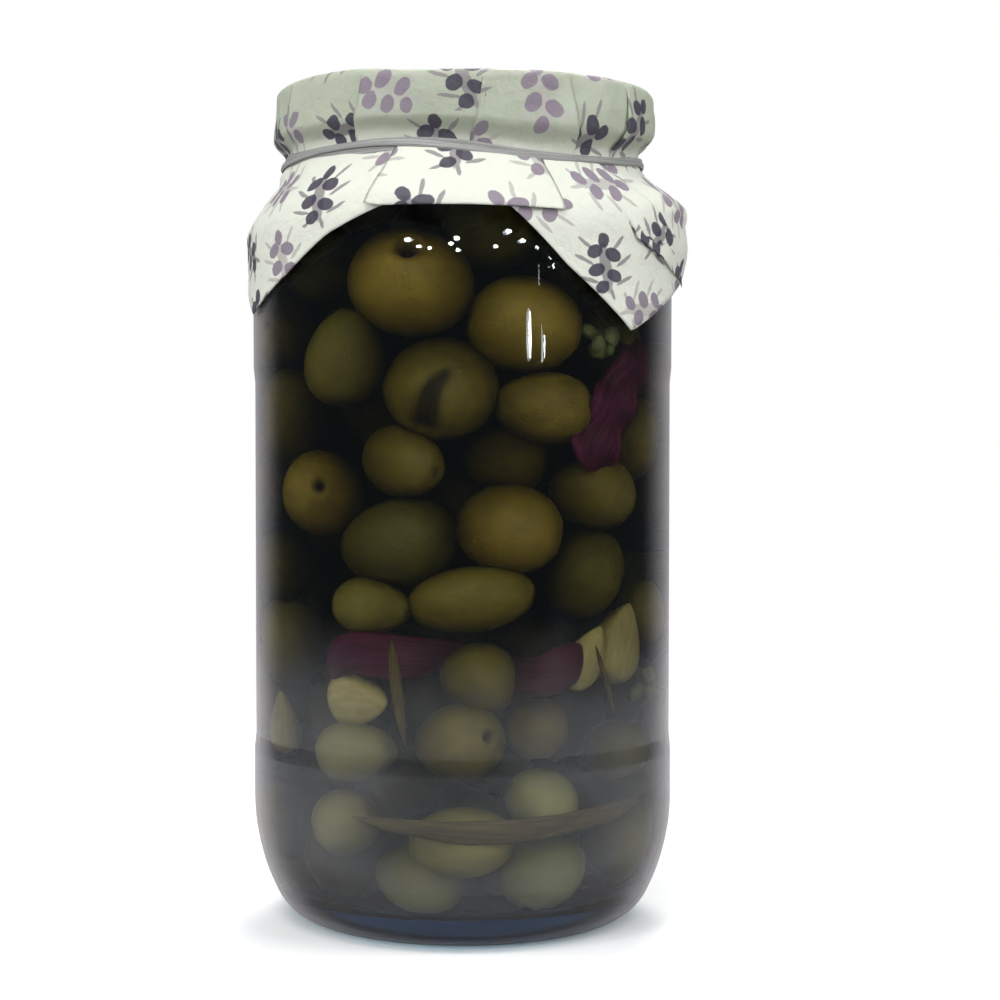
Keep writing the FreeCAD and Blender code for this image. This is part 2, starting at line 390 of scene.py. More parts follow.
def paper_material():
    """Pale green paper printed with rows of small olive sprigs, dark and light in turn, and painted shade on
    the crown's side.
    """
    n = Nodes("printed_paper")
    spot = n.node("VectorMath", {0: n.sheet(), "Scale": 1000.0}, operation="SCALE").outputs["Vector"]
    across, along, _ = n.split(spot)
    wide, tall = SPRIG_CELL
    row = n.math("FLOOR", n.math("DIVIDE", along, tall))
    shifted = n.plus(across, n.times(row, wide * 0.5))
    column = n.math("FLOOR", n.math("DIVIDE", shifted, wide))
    chance = n.node("TexWhiteNoise", {"Vector": n.join(column, row, 3.0)}, noise_dimensions="3D").outputs
    x = n.minus(n.minus(shifted, n.times(column, wide)), wide / 2)
    y = n.minus(n.minus(along, n.times(row, tall)), tall / 2)
    strayed = n.scaled(n.away(chance["Color"], (0.5, 0.5, 0.5)), (3.0, 2.6, 0.0))
    angle = n.times(n.minus(chance["Value"], 0.5), 2.2)
    spin = {"Vector": n.vector("ADD", n.join(x, y), strayed), "Angle": angle}
    turned = n.node("VectorRotate", spin, rotation_type="Z_AXIS").outputs[0]
    blur = n.node("TexNoise", {"Vector": spot, "Scale": 0.45}).outputs["Color"]
    wobble = n.node("VectorMath", {0: blur, "Scale": 0.7}, operation="SCALE").outputs["Vector"]
    turned = n.vector("ADD", turned, wobble)
    parity = n.math("MODULO", n.plus(n.math("ABSOLUTE", column), n.math("ABSOLUTE", row)), 2.0)
    fibre = n.noise(spot, 0.55, 4.0, 0.6)
    ground = n.mix(fibre, (0.68, 0.70, 0.61), (0.76, 0.78, 0.70))
    # Painted shade: the band of the sheet over the crown's side is made darker and greener.
    out = n.length(n.scaled(spot, (1.0, 1.0, 0.0)))
    painted_crown_shade = n.times(n.step(43.0, 48.0, out), n.step(66.0, 60.0, out))
    ground = n.mix(n.times(painted_crown_shade, 0.82), ground, (0.37, 0.415, 0.312))
    leaf_ink = n.mix(parity, (0.46, 0.45, 0.42), (0.235, 0.215, 0.225))
    fruit_ink = n.mix(parity, (0.250, 0.205, 0.260), (0.050, 0.042, 0.072))
    inked = n.mix(n.times(ovals(n, turned, LEAVES, 0.25), 0.85), ground, leaf_ink)
    inked = n.mix(n.times(ovals(n, turned, FRUIT, 0.14), 0.94), inked, fruit_ink)
    crinkle = n.noise(spot, 0.16, 5.0, 0.62)
    normal = n.bump(n.plus(crinkle, n.times(fibre, 0.15)), 0.55, 0.0016)
    back = n.shader("BsdfTranslucent", Color=inked, Normal=normal)
    return n.finish(n.blend(0.14, n.solid(inked, 0.48, normal, 0.35), back))


def strand_material():
    """Pale flat fibre with fine lengthwise grain."""
    n = Nodes("pale_fibre")
    grain = n.noise(n.scaled(n.sheet(), (9.0, 520.0, 1.0)), 1.0, 4.0, 0.6)
    patches = n.noise(n.scaled(n.sheet(), (40.0, 8.0, 1.0)), 1.0, 2.0)
    tone = n.mix(n.step(0.30, 0.72, grain), (0.17, 0.175, 0.17), (0.37, 0.385, 0.385))
    tone = n.mix(n.times(patches, 0.35), tone, (0.40, 0.39, 0.34))
    return n.finish(n.solid(tone, 0.38, n.bump(grain, 0.6, 0.0005)))


def lacquer_material():
    """Cream lacquer on the pressed cap."""
    n = Nodes("cap_lacquer")
    grain = n.noise(n.place(), 300.0, 3.0)
    tone = n.mix(grain, (0.62, 0.61, 0.52), (0.70, 0.69, 0.60))
    return n.finish(n.solid(tone, 0.35, n.bump(grain, 0.1, 0.0002)))


# ---- jar, brine and cap
def dress_node(name, material):
    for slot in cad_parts[name].material_slots:
        slot.material = material


INTO_GLASS = 0.35  # mm that the brine reaches into the wall


def make_brine():
    """The CAD solid's own surface, swollen a little so that it reaches into the glass."""
    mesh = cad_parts["brine"].data.copy()
    piece = bpy.data.objects.new("brine_fill", mesh)
    bpy.context.scene.collection.objects.link(piece)
    work = bmesh.new()
    work.from_mesh(mesh)
    bmesh.ops.remove_doubles(work, verts=work.verts, dist=1e-6)
    work.normal_update()
    for vertex in work.verts:
        vertex.co += vertex.normal * INTO_GLASS * MM
    for face in work.faces:
        face.smooth = True
    work.to_mesh(mesh)
    work.free()
    mesh.materials.clear()
    mesh.materials.append(brine_material())
    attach(piece, "root")
    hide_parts("brine")


# ---- olives
# Olives near the glass: azimuth, height, distance from the axis, half width, half height (mm), turn in their
# own view (degrees), hue (0 green to 1 gold), paleness (below 0 for painted shade), kind of end.
SHOWN = (
    (-17.5, 160.8, 38.6, 14.6, 12.8, 8, 0.92, 0, "notch"),
    (21.2, 151.7, 39.8, 13.2, 11.4, -8, 0.78, 0, ""),
    (-39.5, 143.7, 41.3, 9.8, 11.9, 75, 0.25, -0.25, ""),
    (-6.7, 136, 39.4, 12.6, 12.2, 60, 0.55, -0.55, "slit"),
    (26.9, 131.5, 42.6, 11.6, 8.9, 0, 0.80, -0.50, ""),
    (-17.3, 118.1, 43.2, 11.6, 8, 4, 0.55, -0.50, "end"),
    (-51.1, 110, 40, 10.6, 11.2, 40, 0.90, -0.25, "pit"),
    (16.9, 118.7, 33, 9.4, 8.2, 0, 0.55, 0, ""),
    (45, 110.3, 41.6, 11.6, 9, -14, 0.52, -0.45, ""),
    (-21.9, 98.8, 40.2, 13.6, 10.8, 10, 0.10, -0.60, ""),
    (15.3, 102, 40.3, 12.6, 11.2, -10, 0.90, -0.35, ""),
    (44.3, 90.9, 39, 9.6, 10.8, 60, 0.15, -0.10, ""),
    (-28.3, 83.4, 43.4, 9.8, 6.9, -6, 0.30, 0.10, ""),
    (3.7, 84.7, 42.9, 13, 8, 5, 0.38, -0.20, ""),
    (4.9, 66.7, 40.7, 8.6, 8.6, 0, 0.36, 0.05, ""),
    (-0.8, 50.5, 41.2, 10.8, 9.2, -20, 0.34, 0, "pit"),
    (-34, 47.9, 43, 10.6, 7.5, 12, 0.30, 0.55, ""),
    (25, 53.2, 38.2, 7.6, 7.6, 0, 0.55, 0.10, ""),
    (25.4, 36.7, 43, 8.8, 7.6, -20, 0.30, 0.60, ""),
    (-0.8, 27.6, 42, 11.4, 8.4, 4, 0.70, 0.50, ""),
    (-39.4, 30.6, 41.7, 8.8, 7.8, 20, 0.55, 0.55, ""),
    (-16.2, 18.2, 41.6, 10.2, 8.2, -6, 0.66, 0.85, ""),
    (27, 18.8, 41.4, 10.6, 8.6, 6, 0.15, 0.75, ""),
    (63.2, 24.4, 39.3, 9.6, 8.9, 30, 0.35, 0.30, ""),
    (-71.3, 129.7, 39, 11.8, 10.1, 70, 0.35, 0, ""),
    (-80, 150.5, 38.8, 9, 10.4, 80, 0.80, 0, "pit"),
    (-58, 166.5, 36, 9.6, 9.2, 0, 0.25, 0, ""),
    (12.2, 173.5, 34.6, 11.4, 9.2, 10, 0.25, 0, ""),
    (66.9, 123.5, 40, 8.6, 10.4, 80, 0.58, 0, ""),
    (58.7, 46.2, 39.6, 9, 8.2, 0, 0.25, 0.25, ""),
    (-71.5, 73, 40.1, 9, 10.1, 80, 0.50, 0.35, ""),
    (56, 149, 38.5, 8.6, 8.2, 0, 0.12, 0, ""),
)
FILL_COUNT = 92
OLIVE_GRID = (19, 30)  # rows along an olive and columns round it
FINE_GRID = (37, 60)
HIDDEN_GRID = (11, 16)
# Kinds of end: width and depth of the dip, how dark it is, and the turn and lean that show it.
ENDS = {
    "pit": (0.13, 0.26, 1.4, 20, 50), "end": (0.22, 0.10, 0.55, -14, 32), "notch": (0.17, 0.32, 1.25, 78, 50),
}
SLIT_TURN = (-108, 44)
FRONT_ROOM = 26.0  # how far from the axis loose olives may stand behind the shown ones


def fill_wall(height):
    """Inside radius of the glass at a height, measured on the CAD fill."""
    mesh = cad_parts["brine"].data
    points = np.empty(len(mesh.vertices) * 3)
    mesh.vertices.foreach_get("co", points)
    points = points.reshape(-1, 3) / MM
    radii = np.hypot(points[:, 0], points[:, 1])
    rim = radii > 0.6 * NECK_RADIUS
    order = np.argsort(points[rim, 2])
    return np.interp(height, points[rim, 2][order], radii[rim][order])


def settle(centres, sizes, fixed, steps=260):
    """Pushes overlapping rough balls apart inside the glass. Fixed ones stay where they are."""
    low, high = FILL_LOW[2], FILL_HIGH[2] - 6.0
    heights = np.linspace(low, high + 6.0, 160)
    walls = fill_wall(heights)
    for _ in range(steps):
        gap = centres[:, None, :] - centres[None, :, :]
        apart = np.linalg.norm(gap, axis=2) + np.eye(len(centres)) * 1e3
        touch = sizes[:, None] + sizes[None, :]
        press = np.clip(touch - apart, 0.0, None)
        push = (gap / apart[..., None] * press[..., None]).sum(axis=1) * 0.30
        push[:, 2] -= 0.05
        outer = np.hypot(centres[:, 0], centres[:, 1])
        push[:, :2] += 0.10 * centres[:, :2] / np.maximum(outer, 1.0)[:, None] * (outer > 20.0)[:, None]
        push[fixed] = 0.0
        centres = centres + push
        radii = np.hypot(centres[:, 0], centres[:, 1])
        room = np.interp(centres[:, 2], heights, walls) - sizes - 0.3
        ahead = -centres[:, 1] / np.maximum(radii, 1e-6)
        room = room - (room - FRONT_ROOM) * smoothstep(0.25, 0.55, ahead)
        over = (radii > room) & ~fixed
        centres[over, :2] *= (room[over] / radii[over])[:, None]
        free = ~fixed
        centres[free, 2] = np.clip(centres[free, 2], low + sizes[free] + 1.5, high - sizes[free])
    return centres


def rounded_ends(rows, columns):
    """Angle from end to end and angle round for a closed shape with its long axis on x, and that x."""
    polar, turn = np.linspace(0.0, np.pi, rows)[:, None], full_turn(columns)[None, :]
    return polar, turn, -np.cos(polar) * np.ones_like(turn)


def olive_points(half_long, half_wide, half_deep, kind, seed, rows, columns):
    """One olive with its long axis on x: points, own coordinates (-1 to 1) and how dark its pit is."""
    lumps = np.random.default_rng(seed)
    polar, turn, x = rounded_ends(rows, columns)
    blunt = 1.0 + 0.10 * lumps.normal() * np.cos(polar)
    ring = np.sin(polar) ** (0.93 + 0.08 * lumps.random()) * blunt
    y, z = ring * np.cos(turn), ring * np.sin(turn)
    own = np.stack([x, y, z], axis=-1)
    swell = 1.0
    for _ in range(4):
        way = lumps.normal(size=3)
        way /= np.linalg.norm(way)
        swell = swell + 0.030 * lumps.normal() * np.cos(2.2 * (own @ way) + 6.3 * lumps.random())
    end = np.hypot(y, z)
    if kind in ENDS:
        width, depth, dark = ENDS[kind][:3]
        dip = np.exp(-((end / width) ** 2)) * (x > 0)
        rim = np.exp(-(((end - 0.27) / 0.09) ** 2)) * (x > 0)
        x = x - depth * dip + (0.02 * rim if kind == "pit" else 0.0)
        pit = np.clip(dip * dark, 0.0, 1.0)
    else:
        dip = np.exp(-((end / 0.16) ** 2))
        x = x - 0.07 * dip * np.sign(x)
        pit = 0.45 * dip * (x > 0)
    if kind == "slit":
        across = np.abs(y + 0.08 * np.sin(6 * x)) / (0.06 + 0.15 * np.clip(x, 0, 1))
        cut = np.exp(-(across**2)) * smoothstep(0.15, 0.50, x) * smoothstep(0.25, -0.05, z)
        swell = swell - 0.16 * cut
        pit = np.maximum(pit, np.clip(2.2 * cut, 0.0, 1.0))
    shape = np.stack([x, y, z], axis=-1) * swell[..., None] * np.array([half_long, half_wide, half_deep])
    return shape.reshape(-1, 3), own.reshape(-1, 3), pit.ravel()


def turned_to(azimuth, roll, end_out=0.0):
    """Axes of a thing at an azimuth: its x runs across the view, turned by roll, its end leaning outwards."""
    out = around(azimuth, 1.0, 0.0)
    beside = np.array([-out[1], out[0], 0.0])
    up = np.array([0.0, 0.0, 1.0])
    angle = math.radians(roll)
    lengthwise = beside * math.cos(angle) + up * math.sin(angle)
    lean = math.radians(end_out)
    lengthwise = lengthwise * math.cos(lean) + out * math.sin(lean)
    third = np.cross(lengthwise, out)
    third /= np.linalg.norm(third)
    return np.stack([lengthwise, third, np.cross(lengthwise, third)], axis=0)


def make_olives():
    pile = Pile()
    heights = np.linspace(FILL_LOW[2], FILL_HIGH[2], 240)
    walls = fill_wall(heights)

    def add(centre, axes, halves, kind, hue, pale, seed, grid):
        shape, own, pit = olive_points(*halves, kind, seed, *grid)
        made = shape @ axes + centre
        over = np.max(np.hypot(made[:, 0], made[:, 1]) - np.interp(made[:, 2], heights, walls)) + 0.15
        inward = np.array([-centre[0], -centre[1], 0.0]) / max(np.hypot(centre[0], centre[1]), 1.0)
        made = made + max(over, 0.0) * inward
        own = own + seed * 7.31
        pile.add(made, grid_faces(*grid, wrap=True), own_place=own, pit=pit, hue=hue, pale=pale)

    centres, sizes = [], []
    for azimuth, height, reach, half_wide, half_high, roll, hue, pale, kind in SHOWN:
        centre = around(azimuth, reach, height)
        small, large = sorted((half_wide, half_high))
        lean = 6
        if kind:
            roll, lean = ENDS[kind][3:] if kind in ENDS else SLIT_TURN
        if kind in ("notch", "slit"):
            halves = [half_high * 1.04, half_wide]
        else:
            halves = [large * (1.08 if kind == "pit" else 1.03), small * 1.02]
        halves.append(max(min(small, FILL_RADIUS - reach - 0.2), 0.86 * small))
        grid = FINE_GRID if kind else OLIVE_GRID
        add(centre, turned_to(azimuth, roll, lean), halves, kind, hue, pale, len(centres) + 1, grid)
        centres.append(centre)
        sizes.append((half_wide + half_high) / 2 * 0.93)
    shown = len(centres)

    spread = RNG.random((FILL_COUNT, 3))
    reach = (FILL_RADIUS - 11.0) * np.sqrt(spread[:, 1])
    more = around(360.0 * spread[:, 0], reach, FILL_LOW[2] + 8 + 165.0 * spread[:, 2])
    grown = RNG.uniform(8.4, 11.6, FILL_COUNT)
    knots = np.array([knot for strip in ONION + LEAVES_SUNK for knot in strip[2]], float)
    lumps = np.array([lump[:3] for lump in CLOVES + FLORETS])
    kept = np.concatenate([around(*knots[:, [0, 2, 1]].T), around(*lumps[:, [0, 2, 1]].T)])
    kept_sizes = np.concatenate([np.full(len(knots), 3.0), np.full(len(lumps), 6.0)])
    centres = np.concatenate([np.array(centres), more, kept])
    sizes = np.concatenate([np.array(sizes), grown, kept_sizes])
    number = np.arange(len(centres))
    fixed = (number < shown) | (number >= shown + FILL_COUNT)
    centres = settle(centres, sizes, fixed)
    for index in range(shown, shown + FILL_COUNT):
        centre, size = centres[index], sizes[index]
        azimuth = math.degrees(math.atan2(centre[0], -centre[1]))
        outer = np.hypot(centre[0], centre[1]) > FILL_RADIUS - size - 9.0
        kind = "pit" if RNG.random() < 0.22 else ""
        lean = RNG.uniform(20, 60) if kind else RNG.uniform(-12, 12)
        axes = turned_to(azimuth, RNG.uniform(-90, 90), lean)
        halves = (size * RNG.uniform(1.0, 1.12), size * RNG.uniform(0.84, 0.95), size * 0.90)
        hue = np.clip(RNG.normal(0.45, 0.28), 0.0, 1.0)
        pale = max(0.0, RNG.normal(0.05, 0.15)) + 0.4 * smoothstep(60.0, 20.0, centre[2])
        add(centre, axes, halves, kind, hue, pale, index + 1, OLIVE_GRID if outer else HIDDEN_GRID)
    pile.sink("olives", olive_material(), "olive")


# ---- other pickled pieces
# Strips and leaves: width, thickness (mm) and their course, as (azimuth, height, distance from the axis).
ONION = (
    (10.5, 1.9, ((-42, 66, 46.5), (-34, 71.5, 49), (-24, 72.2, 49), (-13, 72, 47.5), (-5, 71, 42),
                 (6, 68.5, 33), (15, 67.5, 42), (22, 67, 47.5), (30, 69.5, 48.5), (36, 74, 46.5))),
    (15, 2, ((36, 116.5, 48.5), (42, 125, 49.2), (48, 133, 49.2), (56, 140.5, 48.6), (64, 147, 46))),
    (9.5, 1.9, ((104, 96, 44), (118, 93, 48), (134, 95, 47.5), (150, 99, 44))),
    (10, 1.9, ((-150, 60, 44), (-136, 57, 48), (-122, 59, 48), (-108, 55, 44))),
    (9, 1.8, ((-168, 136, 44), (-154, 140, 48), (-142, 147, 47))),
    (9.5, 1.9, ((88, 40, 44), (101, 36, 48.2), (114, 38, 45))),
)
LEAVES_SUNK = (
    (6, 0.55, ((-31, 33, 49.9), (-17, 31.6, 50.6), (-3, 30.6, 50.7), (16, 30.6, 50.7), (34, 32, 50.7),
               (49, 33.8, 50.5), (58, 35.2, 50))),
    (8.4, 0.55, ((150, 112, 48.5), (166, 116, 50.4), (186, 121, 50.4), (203, 123, 48))),
    (8, 0.55, ((-104, 104, 47.5), (-92, 96, 50.2), (-84, 84, 50), (-80, 74, 47))),
    (3.2, 1.1, ((-19.5, 76, 49.4), (-18.5, 69, 50.2), (-17.5, 61, 50), (-15.5, 50, 49.4))),
    (1.7, 0.9, ((39, 74, 49.6), (42, 66, 50.3), (46.5, 56, 49.6))),
    (2.6, 1, ((92, 152, 49.6), (97, 140, 50.3), (99, 127, 49.6))),
)
# Cloves: azimuth, height, distance from the axis, half length, half width, roll.
CLOVES = (
    (-32.6, 61, 44.6, 8.6, 6.4, -4), (54.9, 73.2, 43.6, 10.2, 7.6, 78), (39, 70.6, 45.2, 8.4, 4.9, 64),
    (118, 64, 43, 9, 5.6, 30), (-128, 118, 43.5, 9.4, 5.6, -20), (172, 74, 43.5, 9, 5.8, 60),
    (-70, 52, 43, 8.6, 5.4, 80),
)
# Florets: azimuth, height, distance from the axis, size.
FLORETS = ((43.6, 148, 45.6, 5.2), (66, 62, 44.6, 5.4), (-100, 139, 44, 6.6), (140, 128, 43.6, 6.8))
STRIP_GRID = (56, 12)
CLOVE_GRID = (22, 24)
BUD_GRID = (9, 12)
SUNK_CLEAR = 0.25  # mm between sunk trimmings and the glass


def strip_points(width, thickness, course, seed, pointed):
    """A long thin slab along its course, flat side to the glass, its ends blunt or drawn to points."""
    course = np.array(course, float)
    run = np.linspace(0.0, 1.0, len(course))
    at = np.linspace(0.0, 1.0, STRIP_GRID[0])
    azimuth, height, reach = (through(np.stack([run, column], axis=1), at) for column in course.T)
    spine = around(azimuth, reach, height)
    ahead = np.gradient(spine, axis=0)
    ahead /= np.linalg.norm(ahead, axis=1, keepdims=True)
    out = around(azimuth, 1.0, 0.0)
    side = np.cross(ahead, out)
    side /= np.linalg.norm(side, axis=1, keepdims=True)
    curl = 0.35 * ripple(at, seed, 2, 1.0)[:, None]
    face = np.cross(side, ahead)
    side, face = side * np.cos(curl) + face * np.sin(curl), face * np.cos(curl) - side * np.sin(curl)
    if pointed:
        taper = np.sin(np.pi * np.clip(at, 0.004, 0.996)) ** 0.75
    else:
        taper = np.clip(np.minimum(at, 1.0 - at) / 0.10, 0.02, 1.0) ** 0.5
    wide = width / 2 * taper * (1.0 + 0.10 * ripple(at, seed + 1, 3, 1.0))
    thick = thickness / 2 * np.clip(taper * 1.6, 0.05, 1.0)
    turn = full_turn(STRIP_GRID[1])
    flat = np.sign(np.cos(turn)) * np.abs(np.cos(turn)) ** 0.8
    deep = np.sign(np.sin(turn)) * np.abs(np.sin(turn)) ** 0.8
    cup = 0.10 * width * (flat**2)[None, :, None] * taper[:, None, None]
    points = spine[:, None, :] + side[:, None, :] * (wide[:, None] * flat)[..., None]
    points = points + face[:, None, :] * ((thick[:, None] * deep)[..., None] - cup)
    own = np.stack(np.broadcast_arrays(at[:, None] * 8.0 + seed, flat[None, :], deep[None, :]), axis=-1)
    return points.reshape(-1, 3), own.reshape(-1, 3)


def capped_faces(rows, columns):
    """A tube's sides and its two end fans."""
    ends = [np.arange(columns)[::-1], (rows - 1) * columns + np.arange(columns)]
    return [*grid_faces(rows, columns, wrap=True), *ends]


def keep_in(points, clear):
    """Points brought back inside the glass where they would stand in it."""
    room = fill_wall(points[:, 2]) - clear
    reach = np.hypot(points[:, 0], points[:, 1])
    share = np.minimum(1.0, room / np.maximum(reach, 1e-6))
    return points * np.stack([share, share, np.ones_like(share)], axis=1)


def make_strips(name, strips, material, slot, pointed, seed):
    pile = Pile()
    for index, strip in enumerate(strips):
        made, own = strip_points(*strip, seed + index, pointed)
        pile.add(made, capped_faces(*STRIP_GRID), own_place=own)
    pile.sink(name, material, slot, SUNK_CLEAR)


def make_garlic():
    """Cloves: pointed at one end, blunt at the other, flat inside, with soft ridges."""
    pile = Pile()
    polar, turn, x = rounded_ends(*CLOVE_GRID)
    for seed, (azimuth, height, reach, half_long, half_wide, roll) in enumerate(CLOVES):
        ring = np.sin(polar) ** 1.1 * (1.0 - 0.42 * x) * (1.0 + 0.05 * np.cos(3 * turn + seed))
        z = ring * np.sin(turn) * np.where(np.sin(turn) < 0, 0.62, 0.92)
        own = np.stack([x, ring * np.cos(turn), z + 0.16 * (1 - x**2)], axis=-1).reshape(-1, 3)
        made = (own * np.array([half_long, half_wide, half_wide])) @ turned_to(azimuth, roll, 8.0)
        made = made + around(azimuth, reach, height)
        pile.add(made, grid_faces(*CLOVE_GRID, wrap=True), own_place=own + 5.0 * seed)
    flesh = soft_material("garlic_flesh", (0.44, 0.31, 0.14), (0.54, 0.41, 0.22), 2.4, 0.38, (0.6, 2.2, 2.2))
    pile.sink("garlic_cloves", flesh, "garlic", SUNK_CLEAR)


def make_florets():
    """Small knobbly heads: a stalk with buds crowded over its end."""
    pile = Pile()
    chance = np.random.default_rng(91)
    for azimuth, height, reach, size in FLORETS:
        axes = turned_to(azimuth, chance.uniform(-70, 70), 10.0)
        buds = [(np.array([-0.55, 0.0, 0.0]), 0.34, 1.7)]
        for _ in range(15):
            way = chance.normal(size=3) * np.array([0.6, 1.0, 1.0]) + np.array([0.7, 0.0, 0.0])
            buds.append((0.62 * way / np.linalg.norm(way), chance.uniform(0.26, 0.40), 1.0))
        for place, bud, stretch in buds:
            shape, own, _ = olive_points(bud * stretch, bud, bud, "", pile.count + 3, *BUD_GRID)
            made = (shape + place) * size @ axes + around(azimuth, reach, height)
            pile.add(made, grid_faces(*BUD_GRID, wrap=True), own_place=own + place * 3.0)
    flesh = soft_material("floret_flesh", (0.13, 0.13, 0.055), (0.23, 0.21, 0.10), 3.5, 0.5)
    pile.sink("florets", flesh, "garlic", SUNK_CLEAR)


def make_trimmings():
    flesh = soft_material("onion_flesh", (0.030, 0.0025, 0.010), (0.072, 0.009, 0.029), 1.1, 0.3, (0.5, 5, 5))
    make_strips("onion_strips", ONION, flesh, "onion", False, 70)
    skin = soft_material("leaf_skin", (0.034, 0.020, 0.005), (0.090, 0.055, 0.014), 1.4, 0.45, (0.7, 4, 1))
    make_strips("leaves", LEAVES_SUNK, skin, "leaf", True, 80)
    make_garlic()
    make_florets()


# ---- tie
TIE_COURSE = ((-180, 0.3), (-120, -0.4), (-73, 0), (-40, 0.9), (-23, 1.2), (0, 0), (13, -1.3), (35, -1.9),
              (58, -1), (73, 0.3), (120, 0.6), (180, 0.3))


def tie_height(azimuth):
    """The wavy course of the tie round the neck."""
    azimuth = (np.asarray(azimuth, float) + 180.0) % 360.0 - 180.0
    return TIE_HEIGHT + through(TIE_COURSE, azimuth)


# ---- paper cover
# Tucks of the crown: azimuth, way the outer layer points (+1 towards greater azimuth), how far it gapes.
TUCKS = (
    (-168, 1, 1), (-141, -1, 1), (-117, 1, 1), (-92, -1, 1), (-62, -1, 0.8), (-30, -1, 1.9), (6, -1, 0.7),
    (33, 1, 2.2), (56, -1, 1), (78, 1, 1), (103, -1, 1), (128, 1, 1), (152, -1, 1),
)
PAPER_GAP = 0.34  # from one layer to the next in a pressed fold
PAPER_THICK = 0.20
CROWN_RIM = 46.0
RIM_ROUND = 1.8
DRUM_LOW = 200.6
TUCK_LOW = 196.0
BAND_LOW = 190.4
RIM_LOW = CROWN_TOP - PAPER_THICK - RIM_ROUND


def crown_profile():
    """Rows of the crown from its centre to under the tie: distance along the sheet, radius, height."""
    flat = np.linspace(0.0, CROWN_RIM, 15)[1:]
    rows = [(s, s, CROWN_TOP - PAPER_THICK) for s in flat]
    length = CROWN_RIM
    last = rows[-1]

    def walk(points):
        nonlocal length, last
        for radius, height in points:
            length += math.hypot(radius - last[1], height - last[2])
            rows.append((length, radius, height))
            last = rows[-1]

    turn = np.linspace(0.0, np.pi / 2, 7)[1:]
    drum = CROWN_RIM + RIM_ROUND
    walk(zip(CROWN_RIM + RIM_ROUND * np.sin(turn), RIM_LOW + RIM_ROUND * np.cos(turn)))
    walk((drum, z) for z in np.linspace(RIM_LOW, DRUM_LOW, 11)[1:])
    share = np.linspace(0.0, 1.0, 12)[1:]
    slope = DRUM_LOW + (TUCK_LOW - DRUM_LOW) * share
    walk(zip(drum - (drum - NECK_RADIUS) * smoothstep(0, 1, share), slope))
    walk((NECK_RADIUS, z) for z in np.linspace(TUCK_LOW, BAND_LOW, 6)[1:])
    return np.array(rows)


def creases(across, along, seed, count, size):
    """Straight sharp creases of handled paper, about -1 to 1, over sheet coordinates in mm."""
    chance = np.random.default_rng(seed)
    total = np.zeros_like(across)
    for _ in range(count):
        way = chance.uniform(0.0, np.pi)
        length = chance.uniform(*size)
        spot = (across * math.cos(way) + along * math.sin(way)) / length + chance.random()
        ridge = 1.0 - 2.0 * np.abs(2.0 * (spot - np.floor(spot)) - 1.0)
        patch = np.sin(across / chance.uniform(14, 30) + 6.3 * chance.random())
        patch = patch * np.sin(along / chance.uniform(14, 30) + 6.3 * chance.random())
        total += ridge * patch
    return total / math.sqrt(count)


def tucked_run(start, end, bound, depth, layer):
    """Azimuths and lifts from one panel's middle to the next, over a fold with the first panel outermost."""
    depth = depth - 0.012 * math.exp(-depth / 0.012)
    edge = bound + 0.55 * depth
    inner = edge - depth
    out = np.linspace(start, edge, 16)
    back = np.linspace(edge, inner, 9)[1:-1]
    on = np.linspace(inner, end, 16)
    out_lift = 2.0 * layer * smoothstep(min(inner, edge) - 0.14, min(inner, edge) + 0.03, out)
    back_lift = layer * np.linspace(1.35, 0.65, 7)
    return np.concatenate([out, back, on]), np.concatenate([out_lift, back_lift, np.zeros(16)])


def folded_ring(length, radius, gap):
    """One row of the crown: azimuth, lift of each layer above the cap, and direction on the flat sheet."""
    bounds = np.radians([tuck for tuck, _, _ in TUCKS])
    after = np.append(bounds[1:], bounds[0] + 2 * np.pi)
    ends = (bounds + after) / 2
    starts = np.append(ends[-1] - 2 * np.pi, ends[:-1])
    slack = max(length / radius - 1.0, 0.0)
    rings = []
    for start, end, bound, (_, way, gape) in zip(starts, ends, bounds, TUCKS):
        depth = slack * (end - start) / 2
        layer = min(gap * gape, 0.25 * depth * radius)
        if way > 0:
            azimuth, lift = tucked_run(start, end, bound, depth, layer)
        else:
            azimuth, lift = tucked_run(-end, -start, -bound, depth, layer)
            azimuth, lift = -azimuth[::-1], lift[::-1]
        gone = np.concatenate([[0.0], np.cumsum(np.abs(np.diff(azimuth)))])
        rings.append(np.stack([azimuth, lift, start + (end - start) * gone / gone[-1]])[:, :-1])
    return np.concatenate(rings, axis=1)


def crown_points():
    rows = crown_profile()
    points, uvs = [], []
    for length, radius, height in rows:
        pressed = 0.55 if height < TUCK_LOW else 1.0
        azimuth, lift, direction = folded_ring(length, radius, PAPER_GAP * pressed)
        degrees = np.degrees(azimuth)
        across, along = length * np.sin(direction), -length * np.cos(direction)
        uvs.append(np.stack([across, along], axis=-1))
        drum = smoothstep(CROWN_RIM - 8.0, CROWN_RIM + 2.0, length)
        free = smoothstep(TUCK_LOW - 1.0, TUCK_LOW + 3.0, height)
        dent = creases(across, along, 11, 12, (9.0, 30.0))
        fold = creases(across, along, 23, 5, (16.0, 46.0))
        loose = 0.10 + 0.30 * ripple(degrees, 5) * smoothstep(DRUM_LOW + 7, DRUM_LOW, height)
        side = smoothstep(20.0, 70.0, degrees) * smoothstep(160.0, 110.0, degrees)
        swell = (0.85 * dent + loose + 1.2 * side) * drum * free
        swell = np.maximum(swell, -0.1)
        level = height + (0.22 * dent + 0.25 * np.abs(fold)) * (1 - drum)
        level = level + (0.4 * ripple(degrees, 31, 5) + 0.1) * drum * (height > 205)
        puff = smoothstep(-8.0, -36.0, degrees) * smoothstep(-175.0, -130.0, degrees)
        level = level + 1.2 * puff * smoothstep(26.0, 42.0, length) * smoothstep(206.0, 211.0, height)
        shift = tie_height(degrees) - TIE_HEIGHT
        level = level + shift * smoothstep(DRUM_LOW + 4.0, TUCK_LOW, height)
        points.append(around(degrees, radius + lift + swell, level))
    return np.array(points), np.array(uvs)


